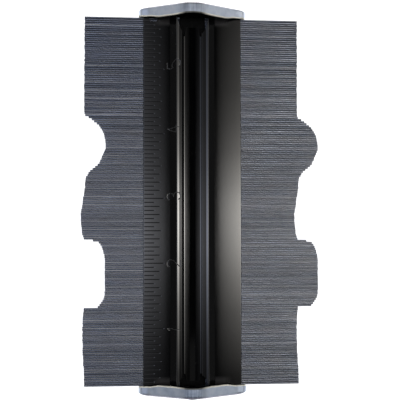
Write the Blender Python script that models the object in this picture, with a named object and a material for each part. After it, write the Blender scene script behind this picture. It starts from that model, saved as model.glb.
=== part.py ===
"""Contour gauge: a row of steel wires that slide through a pressed steel casing and copy a profile.

The gauge lies on its back. X runs along the wires, Y along the casing and +Z out of its front.
Every piece is drawn about the middle plane of the wires, and one empty lifts them all, so that
the gauge rests on the crowns of its two end caps. All lengths are in metres.
"""

import math
import random

import bmesh
import bpy
from mathutils import Matrix, Vector

# Overall sizes, over the end caps
GAUGE_LENGTH = 0.152
GAUGE_THICKNESS = 0.018

# Wires
PIN_DIAMETER = 0.0008
PIN_LENGTH = 0.0844
BANK_COUNT = 45
BANK_GAP = 0.00002
PROFILE_PUSH = 0.0082
TIP_JITTER = 0.00012
TIP_STEP = 0.00005
PIN_SIDES = 8

# Pressed casings, one sheet in front of the wires and one behind
SHEET = 0.0008
CASING_WIDTH = 0.0386
SLOT_CLEARANCE = 0.0001
RIDGE_HEIGHT = 0.0049
RIDGE_INNER_X = 0.00385
RIDGE_INNER_DROP = 0.0002
RIDGE_INNER_RADIUS = 0.0006
RIDGE_BROW_X = 0.0049
RIDGE_BROW_DROP = 0.00006
RIDGE_BROW_RADIUS = 0.006
RIDGE_OUTER_X = 0.0062
RIDGE_OUTER_RADIUS = 0.0009
RIDGE_FOOT_X = 0.0087
TROUGH_HALF_WIDTH = 0.0033
TROUGH_RADIUS = 0.0005
FOOT_RADIUS = 0.0004
SHEET_EDGE_RADIUS = 0.0002

# Openings in the casings
TOP_TONGUE_SETBACK = 0.0068
BOTTOM_TONGUE_SETBACK = 0.0046
TONGUE_TAPER = 0.0004
TOP_FLARE_LENGTH = 0.0103
BOTTOM_FLARE_LENGTH = 0.0075
FLARE_MOUTH_HALF_WIDTH = 0.0073
FLARE_POWER = 0.65
SLIT_START_WIDTH = 0.0007
HANGING_HOLE_RADIUS = 0.0018
HANGING_HOLE_FROM_SIDE = 0.00415
HANGING_HOLE_FROM_END = 0.00273

# Felt strips that brake the wires
STRIP_THICKNESS = 0.0007
STRIP_WIDTH = 0.010
STRIP_CLEARANCE = 0.00005

# Drawn end caps
CAP_SHEET = 0.0008
CAP_END_CLEARANCE = 0.0002
CAP_FLANGE_CLEARANCE = 0.0001
CAP_SIDE_CLEARANCE = 0.001
CAP_CROWN_HALF_WIDTH = 0.0028
CAP_SIDE_FLAT = 0.0041
CAP_CROWN_RADIUS = 0.008
CAP_FOOT_RISE = 0.0007
CAP_FOOT_RADIUS = 0.006
CAP_SIDE_RADIUS = 0.0017
CAP_FOLD_RADIUS = 0.0013
LIP_DEPTH_CROWN = 0.0042
LIP_DEPTH_SLOPE = 0.0049
LIP_DEPTH_FOOT = 0.0041
SIDE_WALL_DEPTH = 0.003
LIP_SLOPE_FROM_X = 0.0085
LIP_FALL_WIDTH = 0.004

# Spacer blocks between the casings, at each end of the row of wires
BLOCK_WIDTH = 0.0022
BLOCK_ROW_CLEARANCE = 0.00035
BLOCK_SLOT_CLEARANCE = 0.00005
BLOCK_SIDE_SETBACK = 0.0007
BOSS_RADIUS = 0.0034

# Cap screws
SCREW_RADIUS = 0.00125
SCREW_HOLE_CLEARANCE = 0.0001
SCREW_HEAD_RADIUS = 0.00275
SCREW_HEAD_HEIGHT = 0.0019
SCREW_HEAD_ROUND = 0.0009
SCREW_TIP_SETBACK = 0.0002
SCREW_TIP_CHAMFER = 0.0003
SEAT_GAP = 0.00005

# The copied profile, from the top end of the row to the bottom: (share of the row, share of the push)
PROFILE_SHARES = (
    (0.0, 0.0),
    (0.224, -0.02),
    (0.268, -0.02),
    (0.275, 0.20),
    (0.289, 0.53),
    (0.300, 0.73),
    (0.316, 0.90),
    (0.341, 0.99),
    (0.360, 1.0),
    (0.373, 0.87),
    (0.390, 0.77),
    (0.401, 0.66),
    (0.412, 0.41),
    (0.423, 0.21),
    (0.439, 0.06),
    (0.465, 0.03),
    (0.491, -0.05),
    (0.540, -0.18),
    (0.586, -0.11),
    (0.603, -0.02),
    (0.611, 0.62),
    (0.622, 0.80),
    (0.644, 0.93),
    (0.666, 0.97),
    (0.739, 0.99),
    (0.766, 0.92),
    (0.780, 0.74),
    (0.789, 0.62),
    (0.790, -0.03),
    (0.845, -0.08),
    (0.900, -0.07),
    (0.956, -0.02),
    (1.0, 0.02),
)

# Fineness of the round stretches
ARC_STEP = math.radians(18)
FOLD_STEPS = 3
ROUND_STEPS = 24
HEAD_STEPS = 4
SLOPE_STEPS = 6
FLAT_STEPS = 2
FLARE_STEPS = 6
SMOOTH_ANGLE = math.radians(35)

# Levels and places that follow from the sizes above
HALF_LENGTH = GAUGE_LENGTH / 2
HALF_THICKNESS = GAUGE_THICKNESS / 2
PIN_RADIUS = PIN_DIAMETER / 2
CASING_LENGTH = GAUGE_LENGTH - 2 * (CAP_SHEET + CAP_END_CLEARANCE)
FLANGE_INNER_Z = PIN_RADIUS + SLOT_CLEARANCE
FLANGE_OUTER_Z = FLANGE_INNER_Z + SHEET
CREST_Z = FLANGE_OUTER_Z + RIDGE_HEIGHT
STRIP_LOW_Z = PIN_RADIUS + STRIP_CLEARANCE
TROUGH_INNER_Z = STRIP_LOW_Z + STRIP_THICKNESS + STRIP_CLEARANCE
TROUGH_OUTER_Z = TROUGH_INNER_Z + SHEET
ROW_SPACE = CASING_LENGTH - 2 * (BLOCK_WIDTH + BLOCK_ROW_CLEARANCE)
CAP_HALF_WIDTH = CASING_WIDTH / 2 + CAP_SIDE_CLEARANCE + CAP_SHEET
CAP_SIDE_Z = FLANGE_OUTER_Z + CAP_FLANGE_CLEARANCE + CAP_SHEET
CAP_SLOPE_FOOT_X = CAP_HALF_WIDTH - CAP_SIDE_FLAT
LIP_SLOPE_TO_X = CAP_SLOPE_FOOT_X - LIP_FALL_WIDTH
SCREW_HOLE_RADIUS = SCREW_RADIUS + SCREW_HOLE_CLEARANCE


def clear_scene():
    for obj in list(bpy.data.objects):
        bpy.data.objects.remove(obj, do_unlink=True)


def make_finish(name, colour, roughness, metallic):
    material = bpy.data.materials.new(name)
    material.use_nodes = True
    shader = material.node_tree.nodes["Principled BSDF"]
    shader.inputs["Base Color"].default_value = (*colour, 1.0)
    shader.inputs["Roughness"].default_value = roughness
    shader.inputs["Metallic"].default_value = metallic
    material.diffuse_color = (*colour, 1.0)
    return material


def make_object(name, bm, frame, finish):
    """An object of the mesh, with its faces turned out, its rounds smooth and its edges crisp."""
    bmesh.ops.recalc_face_normals(bm, faces=bm.faces)
    mesh = bpy.data.meshes.new(name)
    bm.to_mesh(mesh)
    bm.free()
    mesh.shade_smooth()
    mesh.set_sharp_from_angle(angle=SMOOTH_ANGLE)
    obj = bpy.data.objects.new(name, mesh)
    bpy.context.scene.collection.objects.link(obj)
    if finish:
        mesh.materials.append(finish)
    obj.parent = frame
    return obj


def make_cutter(name, bm, target):
    """A wire-drawn helper that is taken out of the target by a Boolean."""
    cutter = make_object(name, bm, target, None)
    cutter.hide_render = True
    cutter.display_type = "WIRE"
    cut = target.modifiers.new(name, "BOOLEAN")
    cut.operation = "DIFFERENCE"
    cut.solver = "EXACT"
    cut.object = cutter
    return cutter


def offset_path(corners, distance, closed):
    """Corners (x, z, radius) moved to the left of the way they run, with their rounds following."""
    moved = []
    count = len(corners)
    for index, (x, z, radius) in enumerate(corners):
        here = Vector((x, z))
        ways = []
        if closed or index > 0:
            ways.append((here - Vector(corners[index - 1][:2])).normalized())
        if closed or index < count - 1:
            ways.append((Vector(corners[(index + 1) % count][:2]) - here).normalized())
        normals = [Vector((-way.y, way.x)) for way in ways]
        mitre = normals[0] + normals[-1]
        mitre /= 1 + normals[0].dot(normals[-1])
        turn = ways[0].x * ways[-1].y - ways[0].y * ways[-1].x
        place = here + mitre * distance
        moved.append((place.x, place.y, radius - math.copysign(distance, turn * distance)))
    return moved


def round_corner(before, corner, after):
    """The points of a corner's arc, or the corner alone where it has no radius."""
    here = Vector(corner[:2])
    back = (Vector(before[:2]) - here).normalized()
    on = (Vector(after[:2]) - here).normalized()
    turn = math.pi - back.angle(on)
    radius = corner[2]
    if radius <= 0 or turn == 0:
        return [here]
    centre = here + (back + on).normalized() * (radius / math.cos(turn / 2))
    spoke = here + back * (radius * math.tan(turn / 2)) - centre
    last = here + on * (radius * math.tan(turn / 2)) - centre
    side = math.copysign(turn, spoke.x * last.y - spoke.y * last.x)
    steps = max(1, math.ceil(turn / ARC_STEP))
    return [centre + Matrix.Rotation(side * step / steps, 2) @ spoke for step in range(steps + 1)]


def round_outline(corners, splits=None):
    """A closed outline with its corners rounded. splits says in how many each straight run is cut."""
    count = len(corners)
    arcs = [
        round_corner(corners[index - 1], corners[index], corners[(index + 1) % count])
        for index in range(count)
    ]
    points = []
    for index, arc in enumerate(arcs):
        points.extend(arc)
        following = arcs[(index + 1) % count][0]
        pieces = splits[index] if splits else 1
        for piece in range(1, pieces):
            points.append(arc[-1].lerp(following, piece / pieces))
    return points


def prism(points, low, high, place):
    """A closed outline drawn out between two levels. place turns (u, v, level) into a point."""
    bm = bmesh.new()
    ends = [[bm.verts.new(place(u, v, level)) for u, v in points] for level in (low, high)]
    bm.faces.new(ends[0])
    bm.faces.new(ends[1])
    for index in range(len(points)):
        before = index - 1
        bm.faces.new((ends[0][before], ends[0][index], ends[1][index], ends[1][before]))
    return bm


def along_y(u, v, level):
    return (u, level, v)


def along_z(u, v, level):
    return (u, v, level)


def ring_solid(rings):
    """Rings of as many points each, joined in turn and the last to the first."""
    bm = bmesh.new()
    rows = [[bm.verts.new(point) for point in ring] for ring in rings]
    for row, following in zip(rows, rows[1:] + rows[:1]):
        for index in range(len(row)):
            before = index - 1
            bm.faces.new((row[before], row[index], following[index], following[before]))
    return bm


def blend(value, low, high):
    """0 below low, 1 above high and a soft step between them."""
    share = min(1.0, max(0.0, (value - low) / (high - low)))
    return share * share * (3 - 2 * share)


def casing_section():
    """The closed section of one pressed casing: flange, ridge, trough, ridge and flange."""
    half = [
        (TROUGH_HALF_WIDTH, TROUGH_OUTER_Z, TROUGH_RADIUS),
        (RIDGE_INNER_X, CREST_Z - RIDGE_INNER_DROP, RIDGE_INNER_RADIUS),
        (RIDGE_BROW_X, CREST_Z - RIDGE_BROW_DROP, RIDGE_BROW_RADIUS),
        (RIDGE_OUTER_X, CREST_Z, RIDGE_OUTER_RADIUS),
        (RIDGE_FOOT_X, FLANGE_OUTER_Z, FOOT_RADIUS),
        (CASING_WIDTH / 2, FLANGE_OUTER_Z, 0),
    ]
    outer = [(-x, z, radius) for x, z, radius in reversed(half)] + half
    inner = offset_path(outer, -SHEET, closed=False)
    for path in (outer, inner):
        for end in (0, -1):
            path[end] = (*path[end][:2], SHEET_EDGE_RADIUS)
    return round_outline(outer + inner[::-1])


def notch_outline(end):
    """The opening at one end of the trough: a slit on each side of a tongue, flaring to the end."""
    casing_end = CASING_LENGTH / 2
    flare_length = TOP_FLARE_LENGTH if end > 0 else BOTTOM_FLARE_LENGTH
    tongue_y = casing_end - (TOP_TONGUE_SETBACK if end > 0 else BOTTOM_TONGUE_SETBACK)
    slit_y = casing_end - flare_length
    slit_inner_x = TROUGH_HALF_WIDTH - SLIT_START_WIDTH / 2
    slit_outer_x = TROUGH_HALF_WIDTH + SLIT_START_WIDTH / 2
    half = [(slit_inner_x - TONGUE_TAPER, tongue_y), (slit_inner_x, slit_y)]
    for step in range(FLARE_STEPS + 1):
        share = step / FLARE_STEPS
        spread = (FLARE_MOUTH_HALF_WIDTH - slit_outer_x) * share ** FLARE_POWER
        half.append((slit_outer_x + spread, slit_y + flare_length * share))
    half.append((FLARE_MOUTH_HALF_WIDTH, casing_end + SHEET))
    both = half + [(-x, y) for x, y in reversed(half)]
    return [(x, end * y) for x, y in both]


def make_casing(name, frame, finish):
    casing = make_object(
        name,
        prism(casing_section(), -CASING_LENGTH / 2, CASING_LENGTH / 2, along_y),
        frame,
        finish,
    )
    for label, end in (("top", 1), ("bottom", -1)):
        notch = prism(notch_outline(end), 0, HALF_THICKNESS, along_z)
        make_cutter(f"{name}_{label}_notch", notch, casing)
    hole_x = HANGING_HOLE_FROM_SIDE - CASING_WIDTH / 2
    hole_y = CASING_LENGTH / 2 - HANGING_HOLE_FROM_END
    hole = prism(circle(HANGING_HOLE_RADIUS, hole_x, hole_y), 0, HALF_THICKNESS, along_z)
    make_cutter(f"{name}_hanging_hole", hole, casing)
    return casing


def circle(radius, centre_u=0, centre_v=0):
    turns = [2 * math.pi * step / ROUND_STEPS for step in range(ROUND_STEPS)]
    return [(centre_u + radius * math.cos(turn), centre_v + radius * math.sin(turn)) for turn in turns]


def cap_corners():
    """The outer outline of an end cap, seen along the casing and run counter-clockwise."""
    right = [
        (CAP_HALF_WIDTH, -CAP_SIDE_Z, CAP_SIDE_RADIUS),
        (CAP_HALF_WIDTH, CAP_SIDE_Z, CAP_SIDE_RADIUS),
        (CAP_SLOPE_FOOT_X, CAP_SIDE_Z + CAP_FOOT_RISE, CAP_FOOT_RADIUS),
        (CAP_CROWN_HALF_WIDTH, HALF_THICKNESS, CAP_CROWN_RADIUS),
    ]
    start = (CAP_SLOPE_FOOT_X, -CAP_SIDE_Z - CAP_FOOT_RISE, CAP_FOOT_RADIUS)
    crown = (CAP_CROWN_HALF_WIDTH, -HALF_THICKNESS, CAP_CROWN_RADIUS)
    quarter = [crown, start, *right]
    return quarter + [(-x, -z, radius) for x, z, radius in quarter]


def cap_ring(inset):
    """One ring of an end cap's outline, with the same count of points at every inset."""
    side = [SLOPE_STEPS, FLAT_STEPS, FLAT_STEPS, FLAT_STEPS, SLOPE_STEPS, FLAT_STEPS]
    corners = offset_path(cap_corners(), inset, closed=True)
    return round_outline(corners, side + side)


def lip_depth(x, z):
    """How far the cap's wall reaches from its end face: deepest on the slopes, least at the sides."""
    away = abs(x)
    depth = LIP_DEPTH_CROWN
    rise = LIP_DEPTH_SLOPE - LIP_DEPTH_CROWN
    depth += rise * blend(away, 0, LIP_SLOPE_FROM_X)
    depth -= (LIP_DEPTH_SLOPE - LIP_DEPTH_FOOT) * blend(away, LIP_SLOPE_TO_X, CAP_SLOPE_FOOT_X)
    if away > CAP_SLOPE_FOOT_X:
        low = CAP_SIDE_Z - CAP_SIDE_RADIUS
        depth -= (LIP_DEPTH_FOOT - SIDE_WALL_DEPTH) * (1 - blend(abs(z), low, CAP_SIDE_Z))
    return depth


def make_end_cap(name, end, frame, finish):
    """A drawn tray: end face with a screw hole, rolled fold and a wall that arches over the ridges."""
    outline = cap_ring(0)

    def level_ring(inset, setback):
        return [(point.x, end * (HALF_LENGTH - setback), point.y) for point in cap_ring(inset)]

    def rim_ring(inset):
        return [
            (point.x, end * (HALF_LENGTH - lip_depth(edge.x, edge.y)), point.y)
            for point, edge in zip(cap_ring(inset), outline)
        ]

    def hole_ring(setback):
        rim = [point.normalized() * SCREW_HOLE_RADIUS for point in outline]
        return [(point.x, end * (HALF_LENGTH - setback), point.y) for point in rim]

    def fold_rings(skin):
        radius = CAP_FOLD_RADIUS - skin
        turns = [math.pi / 2 * step / FOLD_STEPS for step in range(FOLD_STEPS + 1)]
        return [
            level_ring(skin + radius * (1 - math.cos(turn)), skin + radius * (1 - math.sin(turn)))
            for turn in turns
        ]

    outside = [rim_ring(0), *fold_rings(0), hole_ring(0)]
    inside = [rim_ring(CAP_SHEET), *fold_rings(CAP_SHEET), hole_ring(CAP_SHEET)]
    return make_object(name, ring_solid(outside + inside[::-1]), frame, finish)


def make_end_block(name, end, frame, finish):
    """A spacer bar between the flanges with a round boss, tapped for the cap screw."""
    wing_x = CASING_WIDTH / 2 - BLOCK_SIDE_SETBACK
    wing_z = FLANGE_INNER_Z - BLOCK_SLOT_CLEARANCE
    low_turn = math.asin(wing_z / BOSS_RADIUS)
    turns = [
        low_turn + (math.pi - 2 * low_turn) * step / ROUND_STEPS for step in range(ROUND_STEPS + 1)
    ]
    upper = [(wing_x, wing_z)]
    upper += [(BOSS_RADIUS * math.cos(turn), BOSS_RADIUS * math.sin(turn)) for turn in turns]
    upper.append((-wing_x, wing_z))
    outline = upper + [(-x, -z) for x, z in upper]
    outer_y = CASING_LENGTH / 2
    inner_y = outer_y - BLOCK_WIDTH
    block = make_object(name, prism(outline, end * inner_y, end * outer_y, along_y), frame, finish)
    low = inner_y - BLOCK_WIDTH
    high = outer_y + BLOCK_WIDTH
    hole = prism(circle(SCREW_HOLE_RADIUS), end * low, end * high, along_y)
    make_cutter(f"{name}_thread", hole, block)
    return block


def make_cap_screw(name, end, frame, finish):
    """A pan head on the cap's end face, and a shank through the cap into the end block."""
    seat = HALF_LENGTH + SEAT_GAP
    top = seat + SCREW_HEAD_HEIGHT
    tip = CASING_LENGTH / 2 - BLOCK_WIDTH + SCREW_TIP_SETBACK
    profile = [
        (SCREW_RADIUS - SCREW_TIP_CHAMFER, tip),
        (SCREW_RADIUS, tip + SCREW_TIP_CHAMFER),
        (SCREW_RADIUS, seat),
        (SCREW_HEAD_RADIUS, seat),
    ]
    for step in range(HEAD_STEPS + 1):
        turn = math.pi / 2 * step / HEAD_STEPS
        reach = SCREW_HEAD_RADIUS - SCREW_HEAD_ROUND * (1 - math.cos(turn))
        profile.append((reach, top - SCREW_HEAD_ROUND * (1 - math.sin(turn))))
    bm = bmesh.new()
    rows = []
    for radius, level in profile:
        rows.append([bm.verts.new((x, end * level, z)) for x, z in circle(radius)])
    bm.faces.new(rows[0])
    bm.faces.new(rows[-1])
    for row, following in zip(rows, rows[1:]):
        for index in range(ROUND_STEPS):
            before = index - 1
            bm.faces.new((row[before], row[index], following[index], following[before]))
    return make_object(name, bm, frame, finish)


def make_friction_strip(name, side, frame, finish):
    """A flat felt strip between the wires and a casing's trough, as long as the row of wires."""
    x = STRIP_WIDTH / 2
    low = side * STRIP_LOW_Z
    high = side * (STRIP_LOW_Z + STRIP_THICKNESS)
    outline = [(-x, low), (x, low), (x, high), (-x, high)]
    bm = prism(outline, -ROW_SPACE / 2, ROW_SPACE / 2, along_y)
    return make_object(name, bm, frame, finish)


def profile_push(share):
    """How far the wires stand pushed along X, at a share of the row from its top end."""
    for (before, low), (after, high) in zip(PROFILE_SHARES, PROFILE_SHARES[1:]):
        if share <= after:
            return PROFILE_PUSH * (low + (high - low) * (share - before) / (after - before))
    return PROFILE_PUSH * PROFILE_SHARES[-1][1]


def pin_banks():
    """The wires in banks, top end first: each wire as (y, left tip x), at rest against the profile."""
    jitter = random.Random(7)
    gaps = (BANK_COUNT - 1) * BANK_GAP
    count = int((ROW_SPACE - gaps) / PIN_DIAMETER)
    row_top = (count * PIN_DIAMETER + gaps) / 2
    banks = []
    for bank in range(BANK_COUNT):
        first = bank * count // BANK_COUNT
        last = (bank + 1) * count // BANK_COUNT
        pins = []
        for index in range(first, last):
            y = row_top - bank * BANK_GAP - index * PIN_DIAMETER - PIN_RADIUS
            push = profile_push((row_top - y) / (2 * row_top)) + jitter.uniform(-TIP_JITTER, TIP_JITTER)
            pins.append((y, round((push - PIN_LENGTH / 2) / TIP_STEP) * TIP_STEP))
        banks.append(pins)
    return banks


def pin_corner(centre_y, side):
    """One corner of a wire's section, whose flats face its neighbours and the felt."""
    turn = 2 * math.pi * (side + 0.5) / PIN_SIDES
    reach = PIN_RADIUS / math.cos(math.pi / PIN_SIDES)
    return (centre_y + reach * math.cos(turn), reach * math.sin(turn))


def make_pin_bank(name, pins, frame, finish):
    """Wires side by side, each stepped to its own place and joined to the next along their contact."""
    middle = (pins[0][0] + pins[-1][0]) / 2
    bm = bmesh.new()
    known = {}

    def vert(wire, side, x):
        """The vertex at x on a wire's corner, shared by two wires where they touch."""
        y, z = pin_corner(pins[wire][0] - middle, side % PIN_SIDES)
        key = tuple(round(value / TIP_STEP * PIN_SIDES) for value in (x, y, z))
        if key not in known:
            known[key] = bm.verts.new((x, y, z))
        return known[key]

    def stations(wire, side):
        """The places along one corner where this wire or the one that it touches there ends."""
        left = pins[wire][1]
        right = left + PIN_LENGTH
        found = {left, right}
        towards = -1 if side in (0, PIN_SIDES - 1) else 1
        touches = side in (0, PIN_SIDES - 1, PIN_SIDES // 2 - 1, PIN_SIDES // 2)
        other = wire + towards
        if touches and 0 <= other < len(pins):
            beside = pins[other][1]
            found |= {x for x in (beside, beside + PIN_LENGTH) if left < x < right}
        return sorted(found)

    def flat(wire, side, left, right):
        if right - left > TIP_STEP / 2:
            corners = ((side, left), (side, right), (side + 1, right), (side + 1, left))
            bm.faces.new([vert(wire, corner, x) for corner, x in corners])

    for wire, (_, left) in enumerate(pins):
        right = left + PIN_LENGTH
        for end in (left, right):
            bm.faces.new([vert(wire, side, end) for side in range(PIN_SIDES)])
        for side in range(PIN_SIDES):
            towards = {PIN_SIDES - 1: -1, PIN_SIDES // 2 - 1: 1}.get(side)
            other = wire + towards if towards else -1
            if towards and 0 <= other < len(pins):
                flat(wire, side, left, min(right, pins[other][1]))
                flat(wire, side, max(left, pins[other][1] + PIN_LENGTH), right)
                continue
            there = [vert(wire, side, x) for x in stations(wire, side)]
            back = [vert(wire, side + 1, x) for x in stations(wire, (side + 1) % PIN_SIDES)]
            bm.faces.new(there + back[::-1])
    bank = make_object(name, bm, frame, finish)
    bank.location = (0, middle, 0)
    return bank


def main():
    clear_scene()
    black_enamel = make_finish("black_enamel", (0.012, 0.012, 0.013), 0.22, 0.0)
    zinc_plate = make_finish("zinc_plate", (0.52, 0.56, 0.62), 0.32, 1.0)
    wire_steel = make_finish("wire_steel", (0.30, 0.32, 0.35), 0.38, 1.0)
    screw_steel = make_finish("screw_steel", (0.45, 0.46, 0.48), 0.35, 1.0)
    black_felt = make_finish("black_felt", (0.02, 0.02, 0.02), 0.95, 0.0)

    banks = pin_banks()
    tips = [tip for pins in banks for _, tip in pins]
    frame = bpy.data.objects.new("gauge_frame", None)
    bpy.context.scene.collection.objects.link(frame)
    frame.location = (-(min(tips) + max(tips) + PIN_LENGTH) / 2, 0, HALF_THICKNESS)

    make_casing("front_casing", frame, black_enamel)
    rear_casing = make_casing("rear_casing", frame, black_enamel)
    rear_casing.rotation_euler = (0, math.pi, 0)
    make_friction_strip("front_friction_strip", 1, frame, black_felt)
    make_friction_strip("rear_friction_strip", -1, frame, black_felt)
    for label, end in (("top", 1), ("bottom", -1)):
        make_end_block(f"{label}_end_block", end, frame, screw_steel)
        make_end_cap(f"{label}_end_cap", end, frame, zinc_plate)
        make_cap_screw(f"{label}_cap_screw", end, frame, screw_steel)
    for number, pins in enumerate(banks, start=1):
        make_pin_bank(f"pin_bank_{number:02d}", pins, frame, wire_steel)


main()
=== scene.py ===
"""A contour gauge, dressed in the order in which it is put together.

It lies on its back on a white bench. X runs along its wires, Y along its casing, Z up to the camera.
Sizes are in metres.
"""

import bisect
import math
import random

import bmesh
import bpy
from mathutils import Matrix, Vector


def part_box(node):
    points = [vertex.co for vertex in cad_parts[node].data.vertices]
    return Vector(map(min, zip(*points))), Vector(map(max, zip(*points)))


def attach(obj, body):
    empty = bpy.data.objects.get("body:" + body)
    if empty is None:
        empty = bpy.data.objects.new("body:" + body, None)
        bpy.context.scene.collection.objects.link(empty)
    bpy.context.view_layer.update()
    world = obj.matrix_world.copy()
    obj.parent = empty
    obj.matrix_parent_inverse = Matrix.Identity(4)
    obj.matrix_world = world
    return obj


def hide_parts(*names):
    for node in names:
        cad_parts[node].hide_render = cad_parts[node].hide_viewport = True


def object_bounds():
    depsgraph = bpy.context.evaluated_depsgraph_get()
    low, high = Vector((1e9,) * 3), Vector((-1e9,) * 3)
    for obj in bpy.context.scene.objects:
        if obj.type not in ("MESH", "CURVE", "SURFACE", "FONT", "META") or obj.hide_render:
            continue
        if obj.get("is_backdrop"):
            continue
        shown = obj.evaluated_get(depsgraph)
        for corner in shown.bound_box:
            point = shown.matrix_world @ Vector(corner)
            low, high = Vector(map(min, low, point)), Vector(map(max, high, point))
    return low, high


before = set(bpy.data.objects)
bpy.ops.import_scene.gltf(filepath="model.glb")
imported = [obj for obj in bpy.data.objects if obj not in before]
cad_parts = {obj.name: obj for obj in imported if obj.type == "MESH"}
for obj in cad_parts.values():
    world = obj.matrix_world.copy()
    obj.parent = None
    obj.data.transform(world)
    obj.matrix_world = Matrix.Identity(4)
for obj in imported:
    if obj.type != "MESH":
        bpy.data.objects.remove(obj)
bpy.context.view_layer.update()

# Casings
# Two steel sheets pressed into flanges, ridges and a trough, then dipped in black gloss enamel.
# They lie face to face with a slot between them, and the front one has an inch scale stamped in.
sheet = 0.0008
felt_clearance = 0.00005
trough_half_width = 0.0033
floor_bends = ((0.0009, 0, 0.031), (0.0020, 0.0000215, 0.19), (0.00302, 0.0000495, 0.001))
floor_edge_rise = 0.0000735
trough_radius = 0.0001
ridge_shift = -0.00017
ridge_inner_x = {-1: 0.0042, 1: 0.0036}
ridge_dish = 0.033
ridge_inner_radius = 0.00015
ridge_rim_foot_x = 0.00524
ridge_rim_drop = 0.00008
ridge_rim_radius = 0.002
ridge_outer_x = 0.00617
ridge_outer_radius = 0.0004
ridge_foot_x = 0.0087
edge_roll = 0.00035
edge_roll_drop = 0.00002
edge_roll_radius = 0.0005
sheet_edge_radius = 0.00025
bend_step = math.radians(5)
arc_step = 0.00015
sheet_crease = math.radians(30)

casing_low, casing_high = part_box("front_casing")
casing_x = (casing_low.x + casing_high.x) / 2
casing_half_width = (casing_high.x - casing_low.x) / 2
casing_end = casing_high.y
middle_z = (casing_low.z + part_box("rear_casing")[1].z) / 2
flange_z = casing_low.z - middle_z + sheet
crest_z = casing_high.z - middle_z
trough_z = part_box("front_friction_strip")[1].z - middle_z + felt_clearance + sheet


def shifted(path, distance):
    """An open path of bends (x, z, radius) moved to the left of the way it runs."""
    moved = []
    for number, (x, z, radius) in enumerate(path):
        here = Vector((x, z))
        legs = [here - Vector(bend[:2]) for bend in path[max(0, number - 1) : number]]
        legs += [Vector(bend[:2]) - here for bend in path[number + 1 : number + 2]]
        ways = [leg.normalized() for leg in legs]
        sides = [Vector((-way.y, way.x)) for way in ways]
        mitre = (sides[0] + sides[-1]) / (1 + sides[0].dot(sides[-1]))
        turn = ways[0].x * ways[-1].y - ways[0].y * ways[-1].x
        place = here + mitre * distance
        moved.append((place.x, place.y, radius - math.copysign(distance, turn * distance)))
    return moved


def bent(corners, cuts=None, longest=1.0):
    """A closed outline with each corner (x, z, radius) bent round, its straight runs cut as asked."""
    arcs = []
    for number, (x, z, radius) in enumerate(corners):
        here = Vector((x, z))
        back = (Vector(corners[number - 1][:2]) - here).normalized()
        ahead = (Vector(corners[(number + 1) % len(corners)][:2]) - here).normalized()
        turn = math.pi - back.angle(ahead)
        if radius <= 0 or turn < 1e-6:
            arcs.append([here])
            continue
        centre = here + (back + ahead).normalized() * (radius / math.cos(turn / 2))
        spoke = here + back * (radius * math.tan(turn / 2)) - centre
        last = here + ahead * (radius * math.tan(turn / 2)) - centre
        signed = math.copysign(turn, spoke.x * last.y - spoke.y * last.x)
        steps = max(2, math.ceil(turn / bend_step), math.ceil(turn * radius / longest))
        arcs.append([centre + Matrix.Rotation(signed * n / steps, 2) @ spoke for n in range(steps + 1)])
    points = []
    for number, arc in enumerate(arcs):
        points += arc
        ahead = arcs[(number + 1) % len(arcs)][0]
        pieces = cuts[number] if cuts else 1
        points += [arc[-1].lerp(ahead, n / pieces) for n in range(1, pieces)]
    return points


def drawn_out(name, outline, low, high, upright=False):
    """An outline drawn out along Y, or along Z if it stands upright."""
    bm = bmesh.new()
    rows = []
    for level in (low, high):
        places = [(u, v, level) if upright else (u, level, v) for u, v in outline]
        rows.append([bm.verts.new(place) for place in places])
        bm.faces.new(rows[-1])
    for number in range(len(outline)):
        before = number - 1
        bm.faces.new((rows[0][before], rows[0][number], rows[1][number], rows[1][before]))
    return made(name, bm)


def made(name, bm):
    """A new object of the mesh, its faces turned outwards."""
    bmesh.ops.recalc_face_normals(bm, faces=bm.faces)
    mesh = bpy.data.meshes.new(name)
    bm.to_mesh(mesh)
    bm.free()
    obj = bpy.data.objects.new(name, mesh)
    bpy.context.scene.collection.objects.link(obj)
    return obj


def carve(obj, tools, crossing=False):
    """Cuts the tools out of the object, also tools that cross each other, and throws them away."""
    for tool in tools:
        cut = obj.modifiers.new("cut", "BOOLEAN")
        cut.operation = "DIFFERENCE"
        cut.use_self = crossing
        cut.solver = "EXACT"
        cut.object = tool
    graph = bpy.context.evaluated_depsgraph_get()
    mesh = bpy.data.meshes.new_from_object(obj.evaluated_get(graph))
    obj.modifiers.clear()
    obj.data = mesh
    for tool in tools:
        bpy.data.objects.remove(tool, do_unlink=True)


def smooth(obj, crease):
    """Shades the rounds smooth, the flats truly flat, and keeps the edges sharper than the crease."""
    obj.data.shade_smooth()
    obj.data.set_sharp_from_angle(angle=crease)
    flats = obj.modifiers.new("flats", "WEIGHTED_NORMAL")
    flats.keep_sharp = True
    graph = bpy.context.evaluated_depsgraph_get()
    mesh = bpy.data.meshes.new_from_object(obj.evaluated_get(graph))
    obj.modifiers.clear()
    obj.data = mesh


def half_path(side):
    """Half of the sheet's outer face from the middle outwards, as bends (x, z, radius)."""
    inner_x = ridge_inner_x[side]
    dish_drop = ridge_rim_drop + ridge_dish * (ridge_rim_foot_x - inner_x)
    trough = [(x, trough_z + rise, radius) for x, rise, radius in floor_bends]
    trough.append((trough_half_width, trough_z + floor_edge_rise, trough_radius))
    ridge = [
        (inner_x, crest_z - dish_drop, ridge_inner_radius),
        (ridge_rim_foot_x, crest_z - ridge_rim_drop, ridge_rim_radius),
        (ridge_outer_x, crest_z, ridge_outer_radius),
    ]
    flange = [
        (ridge_foot_x, flange_z, 0),
        (casing_half_width - edge_roll, flange_z, edge_roll_radius),
        (casing_half_width, flange_z - edge_roll_drop, 0),
    ]
    half = [(side * x, z, radius) for x, z, radius in trough]
    half += [(side * x + ridge_shift, z, radius) for x, z, radius in ridge]
    return half + [(side * x, z, radius) for x, z, radius in flange]


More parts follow.
